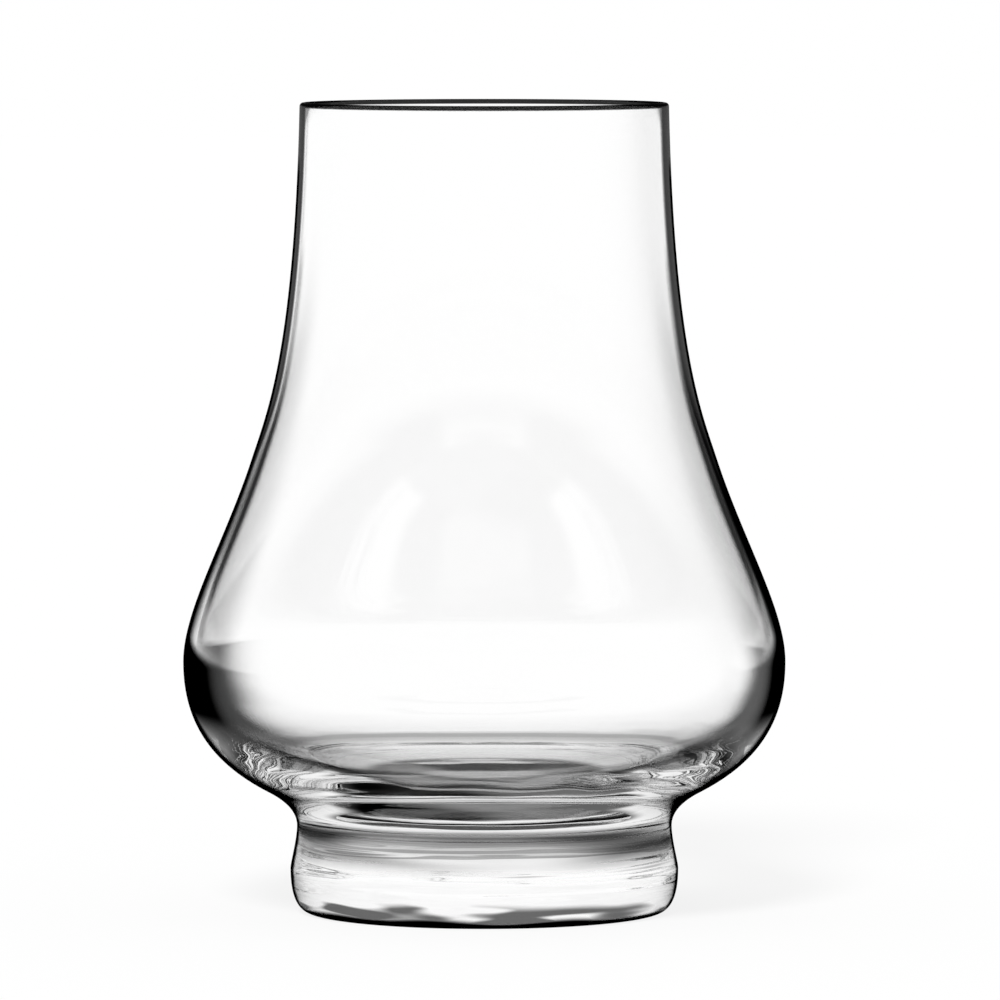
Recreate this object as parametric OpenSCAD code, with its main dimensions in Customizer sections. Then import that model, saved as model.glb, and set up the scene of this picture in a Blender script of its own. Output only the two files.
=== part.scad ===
// Whisky nosing glass: a thin blown bowl with a straight chimney and a low wide belly,
// fused at its neck to a thick solid foot.
// Millimetres, +Z up. The origin is the centre of the ring on which the foot stands.
// Both pieces are revolved from one outline of stations, each a radius, a height and a lean,
// joined by smooth curves. A lean of 0 runs straight down and a positive one runs outwards.

/* [Chimney] */
// Height of the glass, from the table to the top of the lip
height = 98; // [90:0.5:108]
// Outer diameter of the lip
rim_d = 44.6; // [40:0.1:49]
// Outward lean of the wall just under the lip, in degrees
rim_lean = 1.3; // [0:0.1:4]
// Outer diameter at the shoulder, where the chimney sweeps out into the belly
shoulder_d = 56.2; // [52:0.1:60]
// Height of the shoulder
shoulder_z = 55; // [50:0.5:60]
// Outward lean of the wall at the shoulder, in degrees
shoulder_lean = 18; // [14:0.5:23]

/* [Belly] */
// Outer diameter of the belly, the widest place
belly_d = 72.9; // [69:0.1:77]
// Height of the widest place
belly_z = 30.4; // [28:0.1:34]
// Outer diameter on the underside of the belly, where it starts to turn down into the neck
tuck_d = 53; // [50:0.1:56]
// Height of that turn
tuck_z = 14.9; // [13.5:0.1:16.5]
// Inward lean of the underside at that turn, in degrees
tuck_lean = -62.5; // [-68:0.5:-55]

/* [Foot] */
// Diameter of the neck, the narrowest place, where the bowl and the foot are fused
neck_d = 45.4; // [42:0.1:48]
// Height of the neck
neck_z = 10.5; // [9.5:0.1:11.3]
// Diameter of the foot at its widest
foot_d = 47; // [45:0.1:51]
// Height of the widest place of the foot
foot_z = 5.3; // [4:0.1:6.5]
// Outer diameter of the ring on which the foot stands
stand_d = 41.6; // [39:0.1:43]
// Diameter of the shallow hollow under the foot
hollow_d = 33; // [26:0.5:37]
// Depth of that hollow
hollow_depth = 0.7; // [0.2:0.1:1.5]

/* [Glass thickness] */
// Wall at the lip
rim_wall = 0.9; // [0.7:0.05:1.5]
// Wall at the shoulder
shoulder_wall = 1.05; // [0.8:0.05:1.8]
// Wall at the belly
belly_wall = 1.4; // [1:0.05:2.2]
// Diameter of the floor of the bowl, where the floor turns up into the wall
floor_d = 44; // [38:0.5:48]
// Height of the inside where the floor turns up
floor_edge_z = 15.8; // [15:0.1:17.5]
// Inward lean of the inside there, in degrees
floor_lean = -70; // [-80:0.5:-60]
// Height of the inside in the middle of the floor
floor_z = 12.6; // [11.8:0.1:14.5]

/* [Hidden] */
// Pull of each curve at its upper and lower end, as shares of the straight span
chimney_shares = [0.69, 0.13];
flare_shares = [0.4, 0.24];
underside_shares = [0.39, 0.41];
throat_shares = [0.3, 0.37];
foot_side_shares = [0.33, 0.12];
foot_edge_shares = [0.85, 0.13];
inner_flare_shares = [0.4, 0.26];
inner_turn_shares = [0.4, 0.42];
inner_floor_shares = [0.33, 0.45];
hollow_shares = [0.45, 0.3];
// Straight steps in each curve and in the rounding of the lip
curve_steps = 18;
lip_steps = 12;
// Sides of the round surfaces
round_sides = 128;
// Lean of a flat run towards the axis
flat_lean = -90;

// Stations of the outer surface
rim_out = [rim_d / 2, height - rim_wall / 2 * (1 - sin(rim_lean)), rim_lean];
shoulder_out = [shoulder_d / 2, shoulder_z, shoulder_lean];
belly_out = [belly_d / 2, belly_z, 0];
tuck_out = [tuck_d / 2, tuck_z, tuck_lean];
neck_out = [neck_d / 2, neck_z, 0];
foot_out = [foot_d / 2, foot_z, 0];
stand_out = [stand_d / 2, 0, flat_lean];

// Stations of the inner surface, each one wall inside the outer surface
rim_in = inset(rim_out, rim_wall);
shoulder_in = inset(shoulder_out, shoulder_wall);
belly_in = inset(belly_out, belly_wall);
floor_edge_in = [floor_d / 2, floor_edge_z, floor_lean];
floor_in = [0, floor_z, flat_lean];

// Stations of the hollow under the foot, from its edge to the axis
hollow_edge = [hollow_d / 2, 0, flat_lean];
hollow_top = [0, hollow_depth, flat_lean];

// Way down along the outline at a lean, and the way from there into the glass
function heading(lean) = [sin(lean), -cos(lean)];
function inward(lean) = [-cos(lean), -sin(lean)];
function place(station) = [station[0], station[1]];

// A station moved into the glass by a wall, with its lean kept
function inset(station, wall) =
    let (p = place(station) + wall * inward(station[2])) [p[0], p[1], station[2]];

// A point of the cubic curve through four control points
function cubic(p, q, r, s, t) =
    pow(1 - t, 3) * p + 3 * pow(1 - t, 2) * t * q + 3 * (1 - t) * t * t * r + pow(t, 3) * s;

// Points of the curve that leaves one station and reaches the next at their leans
function curve(upper, lower, shares) =
    let (
        p = place(upper),
        s = place(lower),
        span = norm(s - p),
        q = p + shares[0] * span * heading(upper[2]),
        r = s - shares[1] * span * heading(lower[2])
    )
    [for (i = [0 : curve_steps]) cubic(p, q, r, s, i / curve_steps)];

// Joins runs of points, leaving out the first of each run after the first
function joined(runs) =
    [for (i = [0 : len(runs) - 1]) for (j = [min(i, 1) : len(runs[i]) - 1]) runs[i][j]];
function reversed(points) = [for (i = [len(points) - 1 : -1 : 0]) points[i]];

// Half round of the lip, from the inner surface over the top to the outer one
lip_centre = (place(rim_in) + place(rim_out)) / 2;
lip = [
    for (i = [1 : lip_steps - 1])
        let (turn = 180 * i / lip_steps)
        lip_centre + rim_wall / 2 * (cos(turn) * inward(rim_lean) - sin(turn) * heading(rim_lean))
];

bowl_outside = joined([
    curve(rim_out, shoulder_out, chimney_shares),
    curve(shoulder_out, belly_out, flare_shares),
    curve(belly_out, tuck_out, underside_shares),
    curve(tuck_out, neck_out, throat_shares)
]);
bowl_inside = joined([
    curve(rim_in, shoulder_in, chimney_shares),
    curve(shoulder_in, belly_in, inner_flare_shares),
    curve(belly_in, floor_edge_in, inner_turn_shares),
    curve(floor_edge_in, floor_in, inner_floor_shares)
]);
foot_outside = joined([
    curve(neck_out, foot_out, foot_side_shares),
    curve(foot_out, stand_out, foot_edge_shares)
]);
foot_hollow = curve(hollow_edge, hollow_top, hollow_shares);

// Blown bowl: chimney, belly and thick floor, ending in the flat face fused to the foot
module bowl() {
    color([0.86, 0.93, 0.95, 0.45])
        rotate_extrude($fn = round_sides)
            polygon(concat(reversed(bowl_inside), lip, bowl_outside, [[0, neck_z]]));
}

// Pressed foot: solid glass with a soft bottom edge and a shallow hollow underneath
module foot() {
    color([0.78, 0.87, 0.9, 0.6])
        rotate_extrude($fn = round_sides)
            polygon(concat([[0, neck_z]], foot_outside, foot_hollow));
}

bowl();
foot();
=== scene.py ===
# Whisky nosing glass: a thin blown bowl fused to a thick pressed foot, both clear, on a white table.
import math

import bmesh
import bpy
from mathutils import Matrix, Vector


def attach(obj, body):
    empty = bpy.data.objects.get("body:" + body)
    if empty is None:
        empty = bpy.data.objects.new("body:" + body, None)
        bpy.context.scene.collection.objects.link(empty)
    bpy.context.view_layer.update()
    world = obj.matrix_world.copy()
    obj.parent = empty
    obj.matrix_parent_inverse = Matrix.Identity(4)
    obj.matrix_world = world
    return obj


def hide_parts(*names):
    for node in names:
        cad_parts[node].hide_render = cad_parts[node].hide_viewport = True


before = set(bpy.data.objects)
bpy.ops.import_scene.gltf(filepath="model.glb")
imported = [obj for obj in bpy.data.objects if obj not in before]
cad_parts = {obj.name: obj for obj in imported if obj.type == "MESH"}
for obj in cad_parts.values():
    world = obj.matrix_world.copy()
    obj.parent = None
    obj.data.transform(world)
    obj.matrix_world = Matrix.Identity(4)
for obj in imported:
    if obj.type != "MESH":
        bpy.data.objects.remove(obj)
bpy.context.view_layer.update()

# Stations of the outline, as in the solids: radius and height in millimetres, and lean of the
# wall in degrees
HEIGHT = 98
RIM_WALL, SHOULDER_WALL, BELLY_WALL = 0.9, 1.05, 1.4
RIM_RADIUS, RIM_LEAN = 22.3, 1.3
SHOULDER = (28.1, 55, 18)
BELLY = (36.45, 30.4, 0)
TUCK = (26.5, 14.9, -62.5)
NECK = (22.7, 10.5, 0)
FOOT_SIDE = (23.5, 5.3, 0)
FLAT_LEAN = -90
STAND = (20.8, 0, FLAT_LEAN)
HOLLOW_EDGE = (16.5, 0, FLAT_LEAN)
HOLLOW_TOP = (0, 0.7, FLAT_LEAN)
FLOOR_EDGE = (22, 15.8, -70)
FLOOR_MIDDLE = (0, 12.6, FLAT_LEAN)

# Pull of each curve at its upper and lower end, as shares of the straight span
CHIMNEY_SHARES = (0.69, 0.13)
FLARE_SHARES = (0.4, 0.24)
UNDERSIDE_SHARES = (0.39, 0.41)
THROAT_SHARES = (0.3, 0.37)
FOOT_SIDE_SHARES = (0.33, 0.12)
FOOT_EDGE_SHARES = (0.85, 0.13)
INNER_FLARE_SHARES = (0.4, 0.26)
INNER_TURN_SHARES = (0.4, 0.42)
INNER_FLOOR_SHARES = (0.33, 0.45)
HOLLOW_SHARES = (0.45, 0.3)

# Meshes: metres in a millimetre, steps in each curve and in the lip, sides of the round surfaces,
# and the radius in millimetres under which a point counts as on the axis
MM = 0.001
CURVE_STEPS = 30
LIP_STEPS = 16
SIDES = 288
ON_AXIS = 1e-6

# Material slots of both pieces, and how many curves the bowl has outside and on its inner wall
OUTER_SLOT, INNER_SLOT, THICK_SLOT, JOINT_SLOT = range(4)
OUTSIDE_CURVES = 4
INNER_WALL_CURVES = 3

# Glass. From here on heights, radii, places and depths are in metres.
# FLAT_ONLY takes the height out of a place.
IOR = 1.52
CLEAR = (1, 1, 1, 1)
# BLACK is mixed into the glass as painted shade
BLACK = (0, 0, 0, 1)
FLAT_ONLY = (1, 1, 0)

# Shares of lamp light that thin and thick glass let through, falling to none where the surface
# reflects the last share
SHADOW_THIN, SHADOW_THICK = 0.95, 0.6
SHADOW_ENDS = 0.6

# Painted shade on the wall edges. Each pair is the reflected share of light at which the glass
# starts to turn dark and at which it is dark, first for the left side of the glass and then for the
# right.
# The clear fades lie past 1, which no share reaches.
BELLY_FADES = ((0.055, 0.15), (0.095, 0.23))
FLARE_FADES = ((0.30, 0.46), (0.22, 0.35))
CHIMNEY_FADES = ((0.23, 0.29), (0.18, 0.25))
CLEAR_FADES = ((1.5, 2.0), (1.5, 2.0))
LEFT_TO_RIGHT = (-0.012, 0.012)

# Heights over which the painted dark edges start, pass from the belly's to the flare's, and from
# the flare's to the chimney's, and how dark the chimney's painted edge gets
FADE_STARTS = (0.0205, 0.025)
FLARE_HEIGHTS = (0.0305, 0.0345)
CHIMNEY_HEIGHTS = (0.050, 0.066)
CHIMNEY_SHADE = 0.85

# Painted shade: a grey veil on the right side, and a dark line along the inner wall, which stops
# at TOTAL, where all light is reflected
VEIL, VEIL_SHADE = (0.0435, 0.10), 0.03
WALL_LINE, WALL_LINE_SHADE = (0.35, 0.7), 0.22
TOTAL = 0.99

# Painted shade on the top of the lip, and on the rim of the floor as it is seen from inside the bowl
LIP_HEIGHTS, LIP_SHADE = (0.09735, 0.0975), 0.85
FLOOR_FADE, FLOOR_SHADE = (0.08, 0.45), 0.5

# Painted shade on the foot: a wandering dark line at the bottom, patchy darkening above it and a
# dark band at the neck. Each span is the part of the noise, from 0 to 1, over which a shade shows.
NOISE_MIDDLE = 0.5
LINE_HEIGHTS, LINE_SCALES, LINE_WANDER = (0.0014, 0.0006), (80, 80, 200), 0.0014
LOW_SHADE_HEIGHTS, LOW_SHADE = (0.0032, 0.0022), 0.85
LOW_SHADE_SCALES, LOW_SHADE_SPAN = (120, 120, 900), (0.40, 0.56)
BAND_BOTTOM, BAND_TOP = (0.0060, 0.0095), (0.0120, 0.0108)
BAND_SHADE, BAND_LEAST = 0.95, 0.2
BAND_SCALES, BAND_SPAN = (30, 30, 300), (0.33, 0.56)
FOOT_SHADE_RADII = (0.0203, 0.0209)

# Painted shade on the sides of the foot, by the reflected share of light and by radius
FOOT_SIDE_FADE = (0.26, 0.46)
FOOT_SIDE_RADII = (0.0221, 0.0226)

# Ripples of the surface: scale of the noise on each axis, depth, and heights over which they
# set in
NOISE_DETAIL, NOISE_ROUGHNESS = 0.3, 0.5
RIPPLE_HEIGHTS = (0.022, 0.016)
RIPPLE_SCALES, RIPPLE_DEPTH = (50, 50, 550), 120e-6
SWIRL_SCALES, SWIRL_DEPTH = (130, 130, 190), 130e-6
BEND_SCALES, BEND_DEPTH = (60, 60, 90), 200e-6
DRAW_SCALES, DRAW_DEPTH = (220, 220, 18), 3e-6
STREAK_SCALES, STREAK_DEPTH = (50, 50, 1100), 130e-6
STREAK_HEIGHTS = (0.0108, 0.0098)
STREAK_SHIFT = (3.3, 1.7, 5.1)

# Camera, found from the ellipses of the lip and the foot: metres, degrees, and pixels of the
# photograph's frame
CAMERA_DISTANCE = 1.18025
CAMERA_HEIGHT = 0.1214
CAMERA_TILT = 3.465
FOCAL_PIXELS = 9774.8
FRAME_PIXELS = 1000
AXIS_PIXEL_X = 484.3
SENSOR_MM = 36
CLIP_NEAR, CLIP_FAR = 0.01, 100

# Table: its colour, and how far it is whitened for what looks at it directly
TABLE_RADIUS = 4
TABLE_SIDES = 128
TABLE_COLOUR = (0.95, 0.95, 0.95, 1)
TABLE_WHITENING = 0.85

# Painted shadow on the table as the glass shows it: rings, each a radius and a tone. A new
# colour ramp has its first stops already.
FIRST_STOPS = 2
TABLE_SHADOW_RINGS = (
    (0.0, 0.45), (0.007, 0.45), (0.010, 0.06), (0.0155, 0.06), (0.0190, 1.0),
    (0.0235, 1.0), (0.028, 0.9), (0.034, 0.7), (0.040, 0.6), (0.046, 0.42),
    (0.054, 0.42), (0.064, 0.75), (0.08, 1.0),
)

# Painted shadow in front of the axis: places along Y where it comes, radii where it goes, and tone
FRONT_COMES, FRONT_GOES, FRONT_SHADOW_TONE = (-0.003, -0.007), (0.034, 0.026), 0.15

# Painted dark patch of shadow at the front left: its middle, its half width and half depth, the
# soft edge as shares of these, and its tone
PATCH_PLACE, PATCH_SIZE = (-0.010, -0.009), (0.012, 0.009)
PATCH_EDGE, PATCH_SHADOW_TONE = (0.6, 1.2), 0.0

# Painted shade in fields on both sides: how far round from the front as a share of the radius,
# radii where they come and go, and tone. The least radius keeps the division off zero.
ASIDE_SPAN, ASIDE_SHADE_TONE = (0.4, 0.75), 0.06
ASIDE_COMES, ASIDE_GOES = (0.022, 0.028), (0.060, 0.046)
LEAST_RADIUS = 0.001

# Room: its light on matt surfaces, and the dark part that reflections find at the back,
# as a share of the way back and as degrees of rise
ROOM_FILL = 0.5
BACK_SPAN = (0.3, 0.7)
DARK_RISES = (0, 6)
DARK_LEVEL = 0.05

# Key light: its azimuth, rise and width in degrees, and its level on the table
KEY_AZIMUTH, KEY_RISE, KEY_WIDTH = -12, 42, 14
KEY_LEVEL = 0.55

# Bounces of light, enough for the thick base
THROUGH_BOUNCES = 32
MIRROR_BOUNCES = 24


def heading(lean):
    """Way down along the outline at a lean."""
    return Vector((math.sin(math.radians(lean)), -math.cos(math.radians(lean))))


def inward(lean):
    """Way from the outline into the glass at a lean."""
    return Vector((-math.cos(math.radians(lean)), -math.sin(math.radians(lean))))


def place(station):
    """Radius and height of a station."""
    return Vector(station[:2])


def inset(station, wall):
    """The station moved into the glass by a wall, with its lean kept."""
    point = place(station) + wall * inward(station[2])
    return (point.x, point.y, station[2])


def curve(upper, lower, shares):
    """Points of the cubic curve that leaves one station and reaches the next at their leans."""
    start, end = place(upper), place(lower)
    span = (end - start).length
    pull_1 = start + shares[0] * span * heading(upper[2])
    pull_2 = end - shares[1] * span * heading(lower[2])
    points = []
    for i in range(CURVE_STEPS + 1):
        t = i / CURVE_STEPS
        s = 1 - t
        points.append(s**3 * start + 3 * s * s * t * pull_1 + 3 * s * t * t * pull_2 + t**3 * end)
    return points


def joined(*runs):
    """Runs of points as one, leaving out the first of each run after the first."""
    points = list(runs[0])
    for run in runs[1:]:
        points += run[1:]
    return points


# Stations of the lip and of the inner wall
RIM_OUT = (RIM_RADIUS, HEIGHT - RIM_WALL / 2 * (1 - math.sin(math.radians(RIM_LEAN))), RIM_LEAN)
RIM_IN = inset(RIM_OUT, RIM_WALL)
SHOULDER_IN = inset(SHOULDER, SHOULDER_WALL)
BELLY_IN = inset(BELLY, BELLY_WALL)


def lip_round():
    """Half round of the lip, from the outer surface over the top to the inner one."""
    middle = (place(RIM_IN) + place(RIM_OUT)) / 2
    points = []
    for i in range(LIP_STEPS + 1):
        turn = math.pi * i / LIP_STEPS
        across = -math.cos(turn) * inward(RIM_LEAN)
        up = -math.sin(turn) * heading(RIM_LEAN)
        points.append(middle + RIM_WALL / 2 * (across + up))
    return points


def bowl_outline():
    """Closed outline of the bowl: middle of the joint, outer surface up, lip, inner surface down."""
    outside = joined(
        curve(RIM_OUT, SHOULDER, CHIMNEY_SHARES),
        curve(SHOULDER, BELLY, FLARE_SHARES),
        curve(BELLY, TUCK, UNDERSIDE_SHARES),
        curve(TUCK, NECK, THROAT_SHARES),
    )
    inside = joined(
        curve(RIM_IN, SHOULDER_IN, CHIMNEY_SHARES),
        curve(SHOULDER_IN, BELLY_IN, INNER_FLARE_SHARES),
        curve(BELLY_IN, FLOOR_EDGE, INNER_TURN_SHARES),
        curve(FLOOR_EDGE, FLOOR_MIDDLE, INNER_FLOOR_SHARES),
    )
    return [Vector((0, NECK[1]))] + joined(outside[::-1], lip_round(), inside)


def foot_outline():
    """Closed outline of the foot: middle of the joint, side down, edge, hollow underneath."""
    outside = joined(
        curve(NECK, FOOT_SIDE, FOOT_SIDE_SHARES),
        curve(FOOT_SIDE, STAND, FOOT_EDGE_SHARES),
    )
    return [Vector((0, NECK[1]))] + outside + curve(HOLLOW_EDGE, HOLLOW_TOP, HOLLOW_SHARES)


def bowl_slot(band):
    """Material slot of a band of the bowl, counted along its outline from the joint."""
    inner_start = 1 + OUTSIDE_CURVES * CURVE_STEPS + LIP_STEPS
    floor_start = inner_start + INNER_WALL_CURVES * CURVE_STEPS
    if band == 0:
        return JOINT_SLOT
    if band < inner_start:
        return OUTER_SLOT
    return INNER_SLOT if band < floor_start else THICK_SLOT


def foot_slot(band):
    """Material slot of a band of the foot, counted along its outline from the joint."""
    return JOINT_SLOT if band == 0 else THICK_SLOT


def ring_of(mesh, point):
    """Corners round the axis at one point of an outline, or a single one on the axis."""
    radius, height = point.x * MM, point.y * MM
    if point.x < ON_AXIS:
        return [mesh.verts.new((0, 0, height))]
    ring = []
    for i in range(SIDES):
        turn = 2 * math.pi * i / SIDES
        ring.append(mesh.verts.new((radius * math.cos(turn), radius * math.sin(turn), height)))
    return ring


def lathe(name, outline, slot_of):
    """Closed mesh revolved about the upright axis. The outline starts and ends on the axis."""
    mesh = bmesh.new()
    rings = [ring_of(mesh, point) for point in outline]
    for band, (upper, lower) in enumerate(zip(rings, rings[1:])):
        for i in range(SIDES):
            j = (i + 1) % SIDES
            corners = [upper[i % len(upper)], upper[j % len(upper)]]
            corners += [lower[j % len(lower)], lower[i % len(lower)]]
            face = mesh.faces.new(list(dict.fromkeys(corners)))
            face.smooth = True
            face.material_index = slot_of(band)
    bmesh.ops.recalc_face_normals(mesh, faces=mesh.faces)
    data = bpy.data.meshes.new(name)
    mesh.to_mesh(data)
    mesh.free()
    piece = bpy.data.objects.new(name, data)
    bpy.context.scene.collection.objects.link(piece)
    return piece


class Nodes:
    """Short hand for adding nodes to one tree and linking them."""

    def __init__(self, tree):
        self.tree = tree
        tree.nodes.clear()

    def put(self, socket, value):
        """Link or set one input."""
        if isinstance(value, bpy.types.NodeSocket):
            self.tree.links.new(value, socket)
        else:
            socket.default_value = value

    def add(self, kind, settings=None, **inputs):
        """A node with its settings, and its inputs by name, with _ for a space."""
        node = self.tree.nodes.new("ShaderNode" + kind)
        for key, value in (settings or {}).items():
            setattr(node, key, value)
        for key, value in inputs.items():
            self.put(node.inputs[key.replace("_", " ")], value)
        return node

    def fill(self, node, values):
        """A node with its inputs set in their order."""
        for socket, value in zip(node.inputs, values):
            self.put(socket, value)
        return node

    def math(self, operation, *values):
        """Result of a sum on numbers."""
        return self.fill(self.add("Math", {"operation": operation}), values).outputs[0]

    def vector(self, operation, *values):
        """Results of a sum on places."""
        return self.fill(self.add("VectorMath", {"operation": operation}), values).outputs

    def mix(self, share, first, second):
        """The first shader, with a share of the second."""
        return self.fill(self.add("MixShader"), (share, first, second)).outputs[0]

    def times(self, first, *others):
        """Product of all the values."""
        for value in others:
            first = self.math("MULTIPLY", first, value)
        return first

    def most(self, first, *others):
        """Largest of all the values."""
        for value in others:
            first = self.math("MAXIMUM", first, value)
        return first

    def ramp(self, value, low, high, start=0.0, end=1.0):
        """Smooth passage from start to end while the value goes from low to high."""
        return self.add(
            "MapRange",
            {"interpolation_type": "SMOOTHSTEP"},
            Value=value,
            From_Min=low,
            From_Max=high,
            To_Min=start,
            To_Max=end,
        ).outputs[0]

    def noise(self, where, scales, shift=(0, 0, 0)):
        """Soft noise stretched by a scale on each axis."""
        return self.add(
            "TexNoise",
            Vector=self.vector("MULTIPLY_ADD", where, scales, shift)[0],
            Scale=1.0,
            Detail=NOISE_DETAIL,
            Roughness=NOISE_ROUGHNESS,
        ).outputs[0]

    def ripple(self, where, scales, depth, strength=1.0, before=None, shift=(0, 0, 0)):
        """A bump of soft noise laid over an earlier one."""
        noise = self.noise(where, scales, shift)
        bump = self.add("Bump", Strength=strength, Distance=depth, Height=noise)
        if before is not None:
            self.put(bump.inputs["Normal"], before)
        return bump.outputs[0]


def rippled_normal(nodes, where, height):
    """Faint drawing lines all over, stronger ripples low down and streaks on the foot."""
    low = nodes.ramp(height, *RIPPLE_HEIGHTS)
    foot = nodes.ramp(height, *STREAK_HEIGHTS)
    normal = nodes.ripple(where, DRAW_SCALES, DRAW_DEPTH)
    normal = nodes.ripple(where, RIPPLE_SCALES, RIPPLE_DEPTH, low, normal)
    normal = nodes.ripple(where, SWIRL_SCALES, SWIRL_DEPTH, low, normal)
    normal = nodes.ripple(where, BEND_SCALES, BEND_DEPTH, low, normal)
    return nodes.ripple(where, STREAK_SCALES, STREAK_DEPTH, foot, normal, STREAK_SHIFT)


def painted_edge_shade(nodes, reflected, height, right, fades):
    """Painted shade on the wall's edge, from the fades of the belly, the flare and the chimney."""
    limits = []
    for end in (0, 1):
        belly, flare, chimney = [
            nodes.ramp(right, 0.0, 1.0, sides[0][end], sides[1][end]) for sides in fades
        ]
        upper = nodes.ramp(height, *CHIMNEY_HEIGHTS, flare, chimney)
        limits.append(nodes.ramp(height, *FLARE_HEIGHTS, belly, upper))
    deepest = nodes.ramp(height, *CHIMNEY_HEIGHTS, 1.0, CHIMNEY_SHADE)
    return nodes.times(nodes.ramp(reflected, *limits), nodes.ramp(height, *FADE_STARTS), deepest)


def painted_veil_shade(nodes, reflected, height, right, has_line):
    """Painted shade: faint veil on the right side, and the inner wall's line where it is asked for.
    """
    veil = nodes.times(nodes.ramp(reflected, *VEIL, 0.0, VEIL_SHADE), right)
    if has_line:
        line = nodes.ramp(reflected, *WALL_LINE, 0.0, WALL_LINE_SHADE)
        veil = nodes.most(veil, nodes.times(line, nodes.math("LESS_THAN", reflected, TOTAL)))
    return nodes.times(veil, nodes.ramp(height, *FLARE_HEIGHTS))


def painted_foot_shade(nodes, where, height, radius):
    """Painted shade on the outside of the foot: a dark line, patchy darkening and a band."""
    lift = nodes.math("SUBTRACT", nodes.noise(where, LINE_SCALES), NOISE_MIDDLE)
    wandering = nodes.math("ADD", height, nodes.times(lift, LINE_WANDER))
    line = nodes.ramp(wandering, *LINE_HEIGHTS)
    low_shade = nodes.times(
        nodes.ramp(nodes.noise(where, LOW_SHADE_SCALES), *LOW_SHADE_SPAN, 0.0, LOW_SHADE),
        nodes.ramp(wandering, *LOW_SHADE_HEIGHTS),
    )
    band = nodes.times(
        nodes.ramp(nodes.noise(where, BAND_SCALES), *BAND_SPAN, BAND_LEAST, 1.0),
        nodes.ramp(height, *BAND_BOTTOM, 0.0, BAND_SHADE),
        nodes.ramp(height, *BAND_TOP),
    )
    return nodes.times(nodes.most(low_shade, line, band), nodes.ramp(radius, *FOOT_SHADE_RADII))


def new_material(name):
    """An empty material and its nodes."""
    material = bpy.data.materials.new(name)
    material.use_nodes = True
    return material, Nodes(material.node_tree)


def glass_material(name, fades, let_through, has_line=False, is_thick=False):
    """Clear glass. Painted shade turns it dark at grazing angles, and lamps shine through it."""
    material, nodes = new_material(name)
    where = nodes.add("TexCoord").outputs["Object"]
    apart = nodes.add("SeparateXYZ", Vector=where)
    height = apart.outputs["Z"]
    right = nodes.ramp(apart.outputs["X"], *LEFT_TO_RIGHT)
    radius = nodes.vector("LENGTH", nodes.vector("MULTIPLY", where, FLAT_ONLY)[0])["Value"]
    outside = nodes.math("SUBTRACT", 1.0, nodes.add("NewGeometry").outputs["Backfacing"])
    normal = rippled_normal(nodes, where, height)
    reflected = nodes.add("Fresnel", IOR=IOR, Normal=normal).outputs[0]

    # painted shade on the sides of the foot
    side = nodes.times(nodes.ramp(reflected, *FOOT_SIDE_FADE), nodes.ramp(radius, *FOOT_SIDE_RADII))
    painted_shades = [
        painted_edge_shade(nodes, reflected, height, right, fades),
        painted_veil_shade(nodes, reflected, height, right, has_line),
        # painted shade on the top of the lip
        nodes.ramp(height, *LIP_HEIGHTS, 0.0, LIP_SHADE),
        nodes.times(nodes.most(painted_foot_shade(nodes, where, height, radius), side), outside),
    ]
    if is_thick:
        # painted shade on the rim of the bowl's floor
        painted_shades.append(nodes.times(nodes.ramp(reflected, *FLOOR_FADE, 0.0, FLOOR_SHADE), outside))

    clear = nodes.add(
        "BsdfPrincipled",
        Base_Color=CLEAR,
        Roughness=0.0,
        IOR=IOR,
        Normal=normal,
        Transmission_Weight=1.0,
    ).outputs[0]
    # Black mixed into the glass paints the shade of the edges, the veil, the lip, the floor rim and
    # the foot
    dark = nodes.add("BsdfDiffuse", Color=BLACK).outputs[0]
    body = nodes.mix(nodes.most(*painted_shades), clear, dark)
    passed = nodes.ramp(reflected, 0.0, SHADOW_ENDS, let_through, 0.0)
    shade = nodes.add("BsdfTransparent", Color=passed).outputs[0]
    is_shadow = nodes.add("LightPath").outputs["Is Shadow Ray"]
    nodes.add("OutputMaterial", Surface=nodes.mix(is_shadow, body, shade))
    return material


def joint_material():
    """The fused joint: nothing shows where the two pieces of glass have melted together."""
    material, nodes = new_material("fused_joint")
    nodes.add("OutputMaterial", Surface=nodes.add("BsdfTransparent", Color=CLEAR).outputs[0])
    return material


def make_glass():
    """The bowl and the foot, each a closed piece that replaces its plain solid."""
    wall_fades = (BELLY_FADES, FLARE_FADES, CHIMNEY_FADES)
    inner_fades = (BELLY_FADES, CLEAR_FADES, CLEAR_FADES)
    materials = (
        glass_material("outer_glass", wall_fades, SHADOW_THIN),
        glass_material("inner_glass", inner_fades, SHADOW_THIN, has_line=True),
        glass_material("thick_glass", wall_fades, SHADOW_THICK, is_thick=True),
        joint_material(),
    )
    bowl = lathe("clear_bowl", bowl_outline(), bowl_slot)
    foot = lathe("clear_foot", foot_outline(), foot_slot)
    for piece, node in ((bowl, "bowl"), (foot, "foot")):
        for material in materials:
            piece.data.materials.append(material)
        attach(piece, "root")
        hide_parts(node)


def painted_shadow_rings(nodes, radius):
    """Painted shadow on the table in rings round the axis."""
    span = TABLE_SHADOW_RINGS[-1][0]
    node = nodes.add("ValToRGB", Fac=nodes.math("DIVIDE", radius, span))
    node.color_ramp.interpolation = "EASE"
    stops = node.color_ramp.elements
    for number, (place_at, tone) in enumerate(TABLE_SHADOW_RINGS):
        stop = stops[number] if number < FIRST_STOPS else stops.new(1)
        stop.position = place_at / span
        stop.color = (tone, tone, tone, 1)
    return node.outputs[0]


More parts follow.
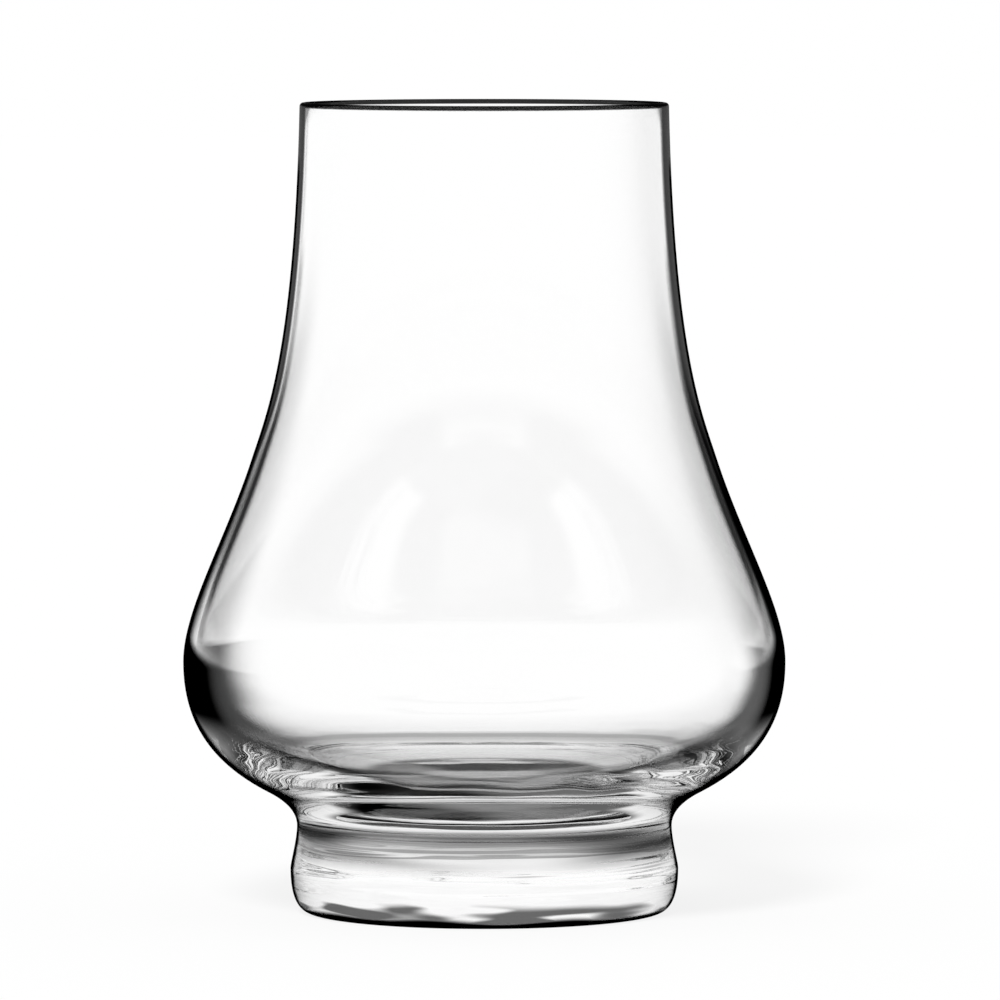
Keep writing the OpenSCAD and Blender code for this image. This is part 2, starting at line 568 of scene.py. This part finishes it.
def painted_shadow_patch(nodes, x, y):
    """Tone of the painted dark patch of shadow, 1 outside it."""
    across = nodes.math("DIVIDE", nodes.math("SUBTRACT", x, PATCH_PLACE[0]), PATCH_SIZE[0])
    along = nodes.math("DIVIDE", nodes.math("SUBTRACT", y, PATCH_PLACE[1]), PATCH_SIZE[1])
    squares = nodes.math("ADD", nodes.times(across, across), nodes.times(along, along))
    return nodes.ramp(nodes.math("SQRT", squares), *PATCH_EDGE, PATCH_SHADOW_TONE, 1.0)


def painted_side_shade(nodes, x, radius):
    """Tone of the painted shade fields on both sides, 1 outside them."""
    aside = nodes.math("DIVIDE", nodes.math("ABSOLUTE", x), nodes.most(radius, LEAST_RADIUS))
    beside = nodes.times(
        nodes.ramp(aside, *ASIDE_SPAN),
        nodes.ramp(radius, *ASIDE_COMES),
        nodes.ramp(radius, *ASIDE_GOES),
    )
    return nodes.ramp(beside, 0.0, 1.0, 1.0, ASIDE_SHADE_TONE)


def make_table():
    """White table top that keeps the glass's shadow, with painted shadow for what sees it through
    the glass.
    """
    bpy.ops.mesh.primitive_circle_add(vertices=TABLE_SIDES, radius=TABLE_RADIUS, fill_type="NGON")
    table = bpy.context.object
    table.name = "table"
    material, nodes = new_material("table_white")
    where = nodes.add("NewGeometry").outputs["Position"]
    apart = nodes.add("SeparateXYZ", Vector=where)
    x, y = apart.outputs["X"], apart.outputs["Y"]
    radius = nodes.vector("LENGTH", where)["Value"]
    front = nodes.times(nodes.ramp(y, *FRONT_COMES), nodes.ramp(radius, *FRONT_GOES))
    tone = nodes.ramp(front, 0.0, 1.0, painted_shadow_rings(nodes, radius), FRONT_SHADOW_TONE)
    tone = nodes.times(tone, painted_shadow_patch(nodes, x, y), painted_side_shade(nodes, x, radius))

    # what the glass shows of the table glows with the painted shadows
    through = nodes.add("Emission", Color=CLEAR, Strength=tone).outputs[0]
    matt = nodes.add("BsdfDiffuse", Color=TABLE_COLOUR).outputs[0]
    white = nodes.add("Emission", Color=CLEAR, Strength=1.0).outputs[0]
    seen = nodes.mix(TABLE_WHITENING, matt, white)
    is_camera = nodes.add("LightPath").outputs["Is Camera Ray"]
    nodes.add("OutputMaterial", Surface=nodes.mix(is_camera, through, seen))
    table.data.materials.append(material)


def make_room():
    """White room. Reflections find it dark high at the back, and matt surfaces get a softer fill."""
    world = bpy.data.worlds.new("room")
    bpy.context.scene.world = world
    world.use_nodes = True
    nodes = Nodes(world.node_tree)
    apart = nodes.add("SeparateXYZ", Vector=nodes.add("TexCoord").outputs["Generated"])
    rise = nodes.math("DEGREES", nodes.math("ARCSINE", apart.outputs["Z"]))
    path = nodes.add("LightPath")
    dimmed = nodes.times(
        nodes.ramp(apart.outputs["Y"], *BACK_SPAN),
        nodes.ramp(rise, *DARK_RISES),
        nodes.ramp(path.outputs["Glossy Depth"], 0.0, 1.0),
    )
    level = nodes.ramp(dimmed, 0.0, 1.0, 1.0, DARK_LEVEL)
    seen = nodes.add("Background", Color=CLEAR, Strength=level).outputs[0]
    fill = nodes.add("Background", Color=CLEAR, Strength=ROOM_FILL).outputs[0]
    nodes.add("OutputWorld", Surface=nodes.mix(path.outputs["Is Diffuse Ray"], seen, fill))


def make_key():
    """Broad soft light from the front, high up. It shows in no reflection."""
    rise, turn = math.radians(KEY_RISE), math.radians(KEY_AZIMUTH)
    data = bpy.data.lights.new("key", "SUN")
    data.angle = math.radians(KEY_WIDTH)
    data.energy = KEY_LEVEL * math.pi / math.sin(rise)
    lamp = bpy.data.objects.new("key", data)
    bpy.context.scene.collection.objects.link(lamp)
    flat = math.cos(rise)
    way = Vector((math.sin(turn) * flat, -math.cos(turn) * flat, math.sin(rise)))
    lamp.rotation_euler = (-way).to_track_quat("-Z", "Y").to_euler()
    lamp.visible_glossy = False
    lamp.visible_transmission = False


def make_camera():
    """The photograph's camera, level sideways and with the glass's axis at its own pixel."""
    data = bpy.data.cameras.new("camera")
    data.sensor_width = SENSOR_MM
    data.lens = FOCAL_PIXELS * SENSOR_MM / FRAME_PIXELS
    data.clip_start = CLIP_NEAR
    data.clip_end = CLIP_FAR
    camera = bpy.data.objects.new("camera", data)
    bpy.context.scene.collection.objects.link(camera)
    aside = (FRAME_PIXELS / 2 - AXIS_PIXEL_X) * CAMERA_DISTANCE / FOCAL_PIXELS
    camera.location = (aside, -CAMERA_DISTANCE, CAMERA_HEIGHT)
    camera.rotation_euler = (math.radians(90 - CAMERA_TILT), 0, 0)
    bpy.context.scene.camera = camera


def set_paths():
    """Bounces for the thick base, and no light thrown onto the table through the glass."""
    cycles = bpy.context.scene.cycles
    cycles.max_bounces = THROUGH_BOUNCES
    cycles.transmission_bounces = THROUGH_BOUNCES
    cycles.transparent_max_bounces = THROUGH_BOUNCES
    cycles.glossy_bounces = MIRROR_BOUNCES
    cycles.caustics_reflective = False
    cycles.caustics_refractive = False
    cycles.blur_glossy = 0
    bpy.context.scene.view_settings.view_transform = "Standard"


make_glass()
make_table()
make_room()
make_key()
make_camera()
set_paths()
